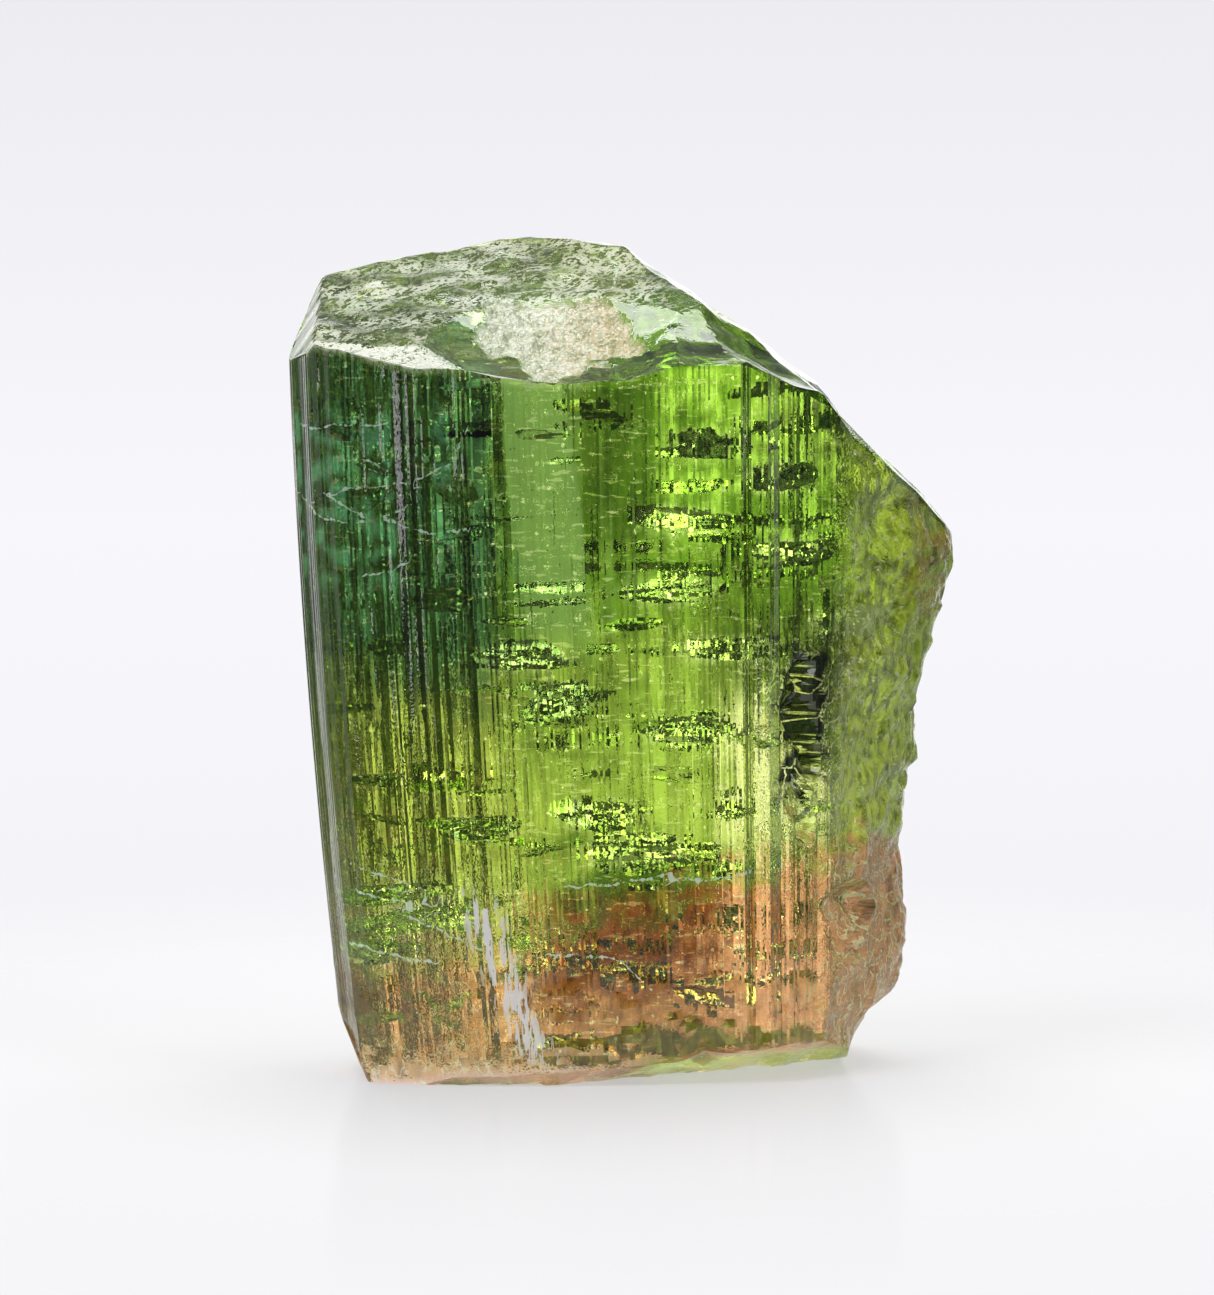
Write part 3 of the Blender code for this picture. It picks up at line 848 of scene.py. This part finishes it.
def crack_distance(column, end):
    """The signed and the plain distance of each point from the nearest drawn crack."""
    front = np.column_stack(line_distance(column[:, (0, 2)], CRACK_LINES))
    front[column[:, 1] > 0] = 1
    top = np.column_stack(line_distance(column[:, :2], TOP_CRACK_LINES))
    return np.column_stack([np.where((end == 1)[:, None], top, front), end * 0])


def polar_outline():
    ring = coarse_outline() - HEART
    turns = np.arctan2(ring[:, 1], ring[:, 0])
    order = np.argsort(turns)
    return turns[order], np.linalg.norm(ring, axis=1)[order]


def within(points, outline, margin):
    """Which points lie inside the crystal, by more than the margin."""
    rise = points[:, 2] - MID_HEIGHT
    off_x = points[:, 0] - RIDGE_X
    taper = 1 + TAPER_X * rise - TAPER_X_SLACK * rise * rise
    x = RIDGE_X + off_x / np.where(off_x > 0, right_swell(points[:, 2]), taper)
    y = points[:, 1] / (1 + TAPER_Y * rise)
    turns, reaches = outline
    edge = np.interp(np.arctan2(y - HEART[1], x - HEART[0]), turns, reaches, period=math.tau)
    off = np.hypot(x - HEART[0], y - HEART[1])
    top = top_layers(points[:, 0], points[:, 1]).min(axis=0) - TOP_WAVE_DEPTH - TOP_PIT_DEPTH
    low = np.maximum(0.0, base_planes(points[:, 0], points[:, 1]) + BASE_WAVE_DEPTH)
    rough = np.where(off_x > 0, LUMP_DEPTH, STRIP_DEPTH + FINE_DEPTH)
    return (off < edge - margin - rough) & (points[:, 2] < top - margin) & (points[:, 2] > low + margin)


def lens_template(rings, sectors):
    """Radius, angle and side of each point of a thin lens, and its triangles, which face inwards."""
    radius, turn, side = [0.0, 0.0], [0.0, 0.0], [1, -1]
    rows = {1: [], -1: []}
    for face in (1, -1):
        for ring in range(1, rings + 1):
            if ring == rings and face == -1:
                rows[-1].append(rows[1][-1])
                continue
            rows[face].append(np.arange(len(radius), len(radius) + sectors))
            radius += [ring / rings] * sectors
            turn += (np.arange(sectors) * math.tau / sectors).tolist()
            side += [0 if ring == rings else face] * sectors
    triangles = []
    for face in (1, -1):
        middle = 0 if face == 1 else 1
        for i in range(sectors):
            j = (i + 1) % sectors
            made = [(middle, rows[face][0][i], rows[face][0][j])]
            for inner, outer in zip(rows[face], rows[face][1:]):
                made += [(inner[i], outer[i], outer[j]), (inner[i], outer[j], inner[j])]
            triangles += [t[::-1] if face == 1 else t for t in made]
    return np.array(radius), np.array(turn), np.array(side), np.array(triangles)


def lens(template, centre, across, deep, tilts, gap, wave, ragged, rng):
    """A thin gap: the centre and the offset of each point of a wavy, ragged lens, and its triangles."""
    radius, turn, side, triangles = template
    shift = rng.uniform(0, 50, 3)
    edge = np.ones(len(turn))
    bend = np.zeros(len(turn))
    if ragged:
        edge += ragged * noise_at(np.column_stack([np.cos(turn), np.sin(turn), turn * 0]) * 1.3 + shift)
    flat = np.column_stack([radius * edge * np.cos(turn) * across, radius * edge * np.sin(turn) * deep])
    if wave:
        bend = noise_at(np.column_stack([flat / (1.1 * MM), turn * 0]) + shift) * wave
    swell = side * gap * np.sqrt(np.clip(1 - radius ** 2, 0, 1))
    front, right, spin = (math.radians(tilt) for tilt in tilts)
    turned = Matrix.Rotation(right, 3, "Y") @ Matrix.Rotation(front, 3, "X") @ Matrix.Rotation(spin, 3, "Z")
    points = np.column_stack([flat, bend + swell]) @ np.array(turned).T
    return np.tile(centre, (len(points), 1)), points, triangles


def random_inside(rng, outline, count):
    """Points spread through the crystal."""
    low, high = np.array((-11, -5.6, 1)) * MM, np.array((12, 6.6, 28)) * MM
    found = rng.uniform(low, high, (count * 4, 3))
    return found[within(found, outline, 3 * INNER_MARGIN)][:count]


def gaps():
    """All the gaps inside, kept inside: fractures, small flakes and upright tubes."""
    rng = np.random.default_rng(INNER_SEED)
    outline = polar_outline()
    large, small = lens_template(3, 14), lens_template(1, 5)
    made = []
    for x, y, z, across, deep, front, right in FRACTURES:
        made.append(lens(
            large, np.array((x, y, z)) * MM, across * MM, deep * MM, (front, right, 0),
            FRACTURE_GAP, FRACTURE_WAVE, 0.5, rng,
        ))
    for centre in random_inside(rng, outline, SCATTERED):
        across, deep = rng.uniform(0.25, 1.2, 2) * MM
        tilts = (rng.normal(15, 2.5), rng.normal(0, 5), rng.uniform(0, 360))
        made.append(lens(large, centre, across, deep, tilts, FRACTURE_GAP, FRACTURE_WAVE * 0.6, 0.6, rng))
    for centre in random_inside(rng, outline, FLAKES):
        across, deep = rng.uniform(0.015, 0.07, 2) * MM
        tilts = (rng.normal(30, 25), rng.normal(0, 25), rng.uniform(0, 360))
        made.append(lens(small, centre, across, deep, tilts, FLAKE_GAP, 0, 0, rng))
    for centre in random_inside(rng, outline, TUBES):
        tilts = (rng.normal(90, 1.2), rng.normal(0, 1.2), 0)
        length = rng.uniform(0.8, 3.4) * MM
        made.append(lens(small, centre, TUBE_WIDTH, length, tilts, TUBE_GAP, 0, 0, rng))
    kept, count = [], 0
    triangles = []
    for centre, offsets, faces in made:
        points = fitted(centre, offsets, outline)
        if points is not None:
            triangles.append(faces + count)
            kept.append(points)
            count += len(points)
    return np.vstack(kept), np.vstack(triangles)


def fitted(centre, offsets, outline):
    """The gap's points, drawn in where they come too close to the outside; None if it doesn't fit."""
    size = np.ones(len(centre))
    for share in (0.85, 0.7, 0.55, 0.4):
        size[~within(centre + offsets * size[:, None], outline, INNER_MARGIN)] = share
    points = centre + offsets * size[:, None]
    return points if within(points, outline, INNER_MARGIN).all() else None


def linked(name, data):
    obj = bpy.data.objects.new(name, data)
    bpy.context.scene.collection.objects.link(obj)
    return obj


def aimed(name, data, location, facing):
    """A light or a camera at a place, which faces along a direction."""
    obj = linked(name, data)
    obj.location = location
    obj.rotation_mode = "QUATERNION"
    obj.rotation_quaternion = facing.to_track_quat("-Z", "Y")
    return obj


def mesh_object(name, points, faces):
    mesh = bpy.data.meshes.new(name)
    mesh.from_pydata(points.tolist(), [], faces)
    mesh.validate()
    return linked(name, mesh)


def mark(mesh, name, values):
    """A number or a vector at each point, for the material to read."""
    kind, field = ("FLOAT", "value") if values.ndim == 1 else ("FLOAT_VECTOR", "vector")
    mesh.attributes.new(name, kind, "POINT").data.foreach_set(field, values.astype(np.float32).ravel())


def surface_marks(points, column, tone, end):
    """What the material reads at each point of the outside."""
    top = end == 1
    broken = (end == -1) & (points[:, 2] > BROKEN_FROM)
    dull = top_dull(points, column, top) + side_dull(column, tone, end)
    return {
        "column": column,
        "tint": tints(column, tone, end),
        "top": top,
        "frost": np.where(broken, BASE_FROST, top_share(points, top, TOP_FROST)),
        "dull": np.where(broken, BASE_DULL, dull),
        "splinter_glint": splinter_glints(column, end),
        "crazed": crazed(column),
        "crack": crack_distance(column, end),
        "fresh": fresh_break(column[:, 0], column[:, 1]) * top,
    }


def crystal_object():
    points, faces, section, tone, end = crystal_points()
    column = np.column_stack([section, points[:, 2]]) / MM
    inner, triangles = gaps()
    outside = len(faces)
    faces += (triangles + len(points)).tolist()
    crystal = mesh_object("tourmaline", np.vstack([points, inner]), faces)
    mesh = crystal.data
    for name, values in surface_marks(points, column, tone, end).items():
        unread = np.zeros((len(inner), *values.shape[1:]))
        mark(mesh, name, np.concatenate([values, unread]))
    mesh.materials.append(tourmaline())
    mesh.materials.append(gap_wall())
    mesh.polygons.foreach_set("material_index", (np.arange(len(faces)) >= outside).astype(np.int32))
    mesh.set_sharp_from_angle(angle=SHARP_ANGLE)
    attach(crystal, "root")
    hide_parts("tourmaline_crystal")


class Graph:
    """Short calls for the nodes of one material."""

    def __init__(self, owner):
        owner.use_nodes = True
        self.nodes = owner.node_tree.nodes
        self.links = owner.node_tree.links
        self.shader = self.nodes.get("Principled BSDF")
        self.output = self.nodes.get("Material Output") or self.nodes["World Output"]

    def put(self, socket, value):
        if isinstance(value, bpy.types.NodeSocket):
            self.links.new(value, socket)
        else:
            socket.default_value = value

    def mark(self, name, kind="Fac"):
        made = self.node("Attribute")
        made.attribute_name = name
        return made.outputs[kind]

    def node(self, kind, *values):
        """A node, with the values in its first sockets."""
        made = self.nodes.new("ShaderNode" + kind)
        for socket, value in zip(made.inputs, values):
            self.put(socket, value)
        return made

    def axes(self, vector):
        return self.node("SeparateXYZ", vector).outputs

    def joined(self, *axes):
        return self.node("CombineXYZ", *axes).outputs[0]

    def noise(self, where, stretch, detail=2.0, rough=0.5):
        """Noise from 0 to 1, with its middle at 0.5 and about stretch features to each unit of where."""
        scaled = self.node("VectorMath", where, stretch)
        scaled.operation = "MULTIPLY"
        made = self.node("TexNoise", scaled.outputs[0])
        made.inputs["Scale"].default_value = 1.0
        made.inputs["Detail"].default_value = detail
        made.inputs["Roughness"].default_value = rough
        return made.outputs["Fac"]

    def math(self, operation, a, b=0.0, c=0.0):
        made = self.node("Math", a, b, c)
        made.operation = operation
        return made.outputs[0]

    def times(self, *values):
        total = values[0]
        for value in values[1:]:
            total = self.math("MULTIPLY", total, value)
        return total

    def sum(self, *terms):
        """Sum of (value, factor) pairs and of plain numbers."""
        total = 0.0
        for term in terms:
            if isinstance(term, tuple):
                total = self.math("MULTIPLY_ADD", *term, total)
            else:
                total = self.math("ADD", term, total)
        return total

    def ramp(self, value, low, high):
        """0 where the value is at low and 1 where it is at high, smooth between."""
        made = self.node("MapRange", value, low, high)
        made.interpolation_type = "SMOOTHSTEP"
        return made.outputs[0]

    def mix(self, share, a, b):
        """The colour a, with a share of the colour b."""
        made = self.node("Mix")
        made.data_type = "RGBA"
        sockets = {socket.identifier: socket for socket in made.inputs}
        self.put(sockets["Factor_Float"], share)
        for name, colour in (("A_Color", a), ("B_Color", b)):
            self.put(sockets[name], colour if isinstance(colour, bpy.types.NodeSocket) else (*colour, 1))
        return next(socket for socket in made.outputs if socket.identifier == "Result_Color")


def tourmaline():
    """The clear crystal, with the colours, marks, frost and cracks of its surface, among them painted
    highlights: glints, the splinter streak and the bright cracks.
    """
    material = bpy.data.materials.new("tourmaline")
    graph = Graph(material)
    shader = graph.shader
    column = graph.mark("column", "Vector")
    top, frost, dull, fresh = (graph.mark(name) for name in ("top", "frost", "dull", "fresh"))
    splinter_glint, crazed = (graph.mark(name) for name in ("splinter_glint", "crazed"))
    x, y, z = graph.axes(column)
    grain = graph.noise(column, GRAIN_STRETCH, 1, 0.8)
    lines = graph.noise(column, LINE_STRETCH, 2)
    reeds = graph.noise(column, REED_STRETCH, 2, 0.8)
    sugary = graph.ramp(x, *SUGARY_FROM)
    veins = top_veins(graph, x, y, z)
    colour = graph.mix(glints(graph, column, lines, sugary, crazed), graph.mark("tint", "Color"), GLINT)
    # painted highlight: the splinter streak is painted white, partly for the splinters and partly for their
    # glints
    splinters = graph.ramp(graph.sum(reeds, (splinter_glint, 0.25), (grain, 0.10), -0.05), 0.70, 0.73)
    lace = etched_lace(graph, veins, grain, dull)
    white = graph.math("MAXIMUM", graph.times(top, dull, lace), graph.times(splinters, splinter_glint))
    white = graph.math("MAXIMUM", white, graph.times(fresh, FRESH_SHARE))
    colour = graph.mix(white, colour, pale_colour(graph, x, z, fresh, grain, veins))
    # painted highlight: the cracks are real, but painted pale and bright for their glints
    cracks = drawn_crack_glints(graph, lines, grain, reeds)
    graph.put(shader.inputs["Base Color"], graph.mix(cracks, colour, CRACK_GLINT))
    white = graph.math("MAXIMUM", white, cracks)
    veil = graph.math("MAXIMUM", white, graph.times(dull, graph.sum(1.0, (top, -1.0))))
    roughness = graph.sum(POLISHED, (veil, VEIL_ROUGHNESS), (frost, FROST_ROUGHNESS))
    graph.put(shader.inputs["Roughness"], roughness)
    graph.put(shader.inputs["Transmission Weight"], graph.sum(1.0, (veil, -VEIL_SHARE)))
    bump = graph.node("Bump")
    bump.inputs["Distance"].default_value = BUMP_DISTANCE
    strength = graph.sum(0.03, (frost, 0.25), (sugary, 0.30), (fresh, 0.5), (crazed, 0.15))
    graph.put(bump.inputs["Strength"], strength)
    graph.put(bump.inputs["Height"], grain)
    graph.put(shader.inputs["Normal"], bump.outputs[0])
    shader.inputs["IOR"].default_value = INDEX
    absorb = graph.node("VolumeAbsorption", (*ABSORPTION, 1), ABSORPTION_DENSITY)
    graph.links.new(absorb.outputs[0], graph.output.inputs["Volume"])
    return material


def top_veins(graph, x, y, z):
    """How far each place is from the slanting veins of the etched top."""
    across = graph.joined(graph.sum((x, 2.6), (y, -1.6)), graph.sum((x, 0.9), (y, 1.2)), z)
    return graph.math("ABSOLUTE", graph.sum(graph.noise(across, (1.0, 1.0, 1.0), 3, 0.6), -0.5))


def glints(graph, column, lines, sugary, crazed):
    """Where the small bright marks are: dashes, specks, and the net of the crazed places."""
    net = graph.ramp(graph.math("ABSOLUTE", graph.sum(lines, -0.5)), 0.026, 0.010)
    dashes = graph.ramp(graph.noise(column, DASH_STRETCH, 1, 0.6), 0.62, 0.70)
    specks = graph.ramp(graph.sum(graph.noise(column, SPECK_STRETCH, 0), (sugary, 0.06)), 0.77, 0.81)
    marks = graph.math("MAXIMUM", graph.times(dashes, DASH_SHARE), graph.times(net, crazed))
    return graph.math("MAXIMUM", marks, specks)


def etched_lace(graph, veins, grain, dull):
    """Where the dull top is pale: in a lace beside its veins, and nearly all over where it is dullest."""
    lace = graph.ramp(graph.sum(veins, (grain, -0.30), (dull, -0.10), 0.15), 0.02, -0.02)
    return graph.math("MAXIMUM", lace, graph.ramp(graph.sum(dull, (grain, 1.2), -0.6), 0.85, 0.97))


def pale_colour(graph, x, z, fresh, grain, veins):
    """The colour of the pale parts: frost, a beige fresh break with painted shade along its creases, and
    white splinters that are partly painted glints.
    """
    beige = graph.times(fresh, graph.ramp(graph.sum(grain, (x, 0.08)), 0.30, 0.52))
    # painted shade: dark olive lines along the veins of the fresh break, as shade in its creases
    shaded_creases = graph.times(fresh, graph.ramp(veins, 0.05, 0.02), 0.6)
    pale = graph.mix(shaded_creases, graph.mix(beige, FROST, BEIGE), CREASE_SHADE)
    return graph.mix(graph.ramp(z, 20.0, 18.0), pale, SPLINTER_GLINT_WHITE)


def drawn_crack_glints(graph, lines, grain, reeds):
    """The thin cracks, painted pale and bright for their glints, which waver and change in width."""
    side, reach, _ = graph.axes(graph.mark("crack", "Vector"))
    off = graph.math("ABSOLUTE", graph.sum(side, (lines, 0.40), (grain, 0.12), -0.26))
    off = graph.sum(off, (reeds, 0.26), -0.13)
    return graph.times(graph.ramp(off, 0.035, 0.005), graph.ramp(reach, 0.26, 0.20), CRACK_SHARE)


def gap_wall():
    """The walls of the gaps inside."""
    material = bpy.data.materials.new("gap_wall")
    shader = Graph(material).shader
    shader.inputs["Base Color"].default_value = (*GAP_COLOUR, 1)
    shader.inputs["Roughness"].default_value = GAP_ROUGHNESS
    shader.inputs["IOR"].default_value = INDEX
    shader.inputs["Transmission Weight"].default_value = 1.0
    return material


def colour_stops(ramp, stops):
    while len(ramp.elements) < len(stops):
        ramp.elements.new(0.5)
    for element, (place, colour) in zip(ramp.elements, stops):
        element.position = place
        element.color = (*colour, 1) if isinstance(colour, tuple) else (colour, colour, colour, 1)


def studio_world():
    """Pale behind the object; round it, bright at both sides and behind, and dim elsewhere."""
    world = bpy.data.worlds.new("studio")
    bpy.context.scene.world = world
    graph = Graph(world)
    x, y, z = graph.axes(graph.node("TexCoord").outputs["Generated"])
    level = graph.math("SQRT", graph.sum(1.0001, (graph.times(z, z), -1.0)))
    sides = graph.math("MAXIMUM", graph.times(x, SKY_RIGHT), graph.times(x, -SKY_LEFT))
    along = graph.math("DIVIDE", graph.math("MAXIMUM", sides, y), level)
    around = graph.node("ValToRGB", along)
    colour_stops(around.color_ramp, SKY_AROUND)
    low =graph.sum(SKY_SHARE, (graph.ramp(z, SKY_LOW, SKY_HIGH), 1 - SKY_SHARE))
    behind = graph.ramp(graph.sum(y, (x, -SKY_TURN)), *SKY_EDGE)
    open_side = graph.times(behind, low, graph.ramp(z, *SKY_CROWN))
    height = graph.node("MapRange", z, BACKDROP_FROM, BACKDROP_TO)
    seen = graph.node("ValToRGB", height.outputs[0])
    colour_stops(seen.color_ramp, BACKDROP)
    lit, shown = graph.nodes["Background"], graph.node("Background", seen.outputs[0])
    graph.put(lit.inputs["Color"], graph.mix(open_side, (SKY_REST,) * 3, around.outputs[0]))
    from_camera = graph.node("LightPath").outputs["Is Camera Ray"]
    choice = graph.node("MixShader", from_camera, lit.outputs[0], shown.outputs[0])
    graph.put(graph.output.inputs["Surface"], choice.outputs[0])


def floor():
    bm = bmesh.new()
    bmesh.ops.create_circle(bm, cap_ends=True, segments=FLOOR_SEGMENTS, radius=FLOOR_RADIUS)
    mesh = bpy.data.meshes.new("floor")
    bm.to_mesh(mesh)
    bm.free()
    material = bpy.data.materials.new("floor")
    graph = Graph(material)
    inputs = graph.shader.inputs
    inputs["Base Color"].default_value = (*FLOOR_COLOUR, 1)
    inputs["Emission Color"].default_value = (*FLOOR_GLOW_COLOUR, 1)
    inputs["Emission Strength"].default_value = FLOOR_GLOW
    inputs["Roughness"].default_value = FLOOR_ROUGHNESS
    inputs["IOR"].default_value = FLOOR_INDEX
    reach = graph.node("VectorMath", graph.node("TexCoord").outputs["Object"])
    reach.operation = "LENGTH"
    graph.put(inputs["Alpha"], graph.ramp(reach.outputs["Value"], FLOOR_FADE_TO, FLOOR_FADE_FROM))
    mesh.materials.append(material)
    linked("floor", mesh)


def panel(name, place_mm, size_mm, radiance):
    """A soft light that faces the crystal; its size is its width and height."""
    location = Vector([value * MM for value in place_mm])
    width, height = (value * MM for value in size_mm)
    data = bpy.data.lights.new(name, "AREA")
    data.shape = "RECTANGLE"
    data.size, data.size_y = width, height
    data.energy = radiance * math.pi * width * height
    aimed(name, data, location, PANELS_FACE - location)


def camera():
    data = bpy.data.cameras.new("camera")
    elevation = math.radians(CAMERA_ELEVATION)
    back = Vector((0, -math.cos(elevation), math.sin(elevation)))
    data.lens = data.sensor_width * CAMERA_DISTANCE / FRAME_HEIGHT
    data.clip_start, data.clip_end = CAMERA_CLIP
    bpy.context.scene.camera = aimed("camera", data, CAMERA_TARGET + back * CAMERA_DISTANCE, -back)


crystal_object()
studio_world()
floor()
for values in PANELS:
    panel(*values)
camera()
bpy.context.scene.cycles.max_bounces = LIGHT_BOUNCES
bpy.context.scene.cycles.transmission_bounces = LIGHT_BOUNCES
bpy.context.scene.view_settings.view_transform = "Standard"
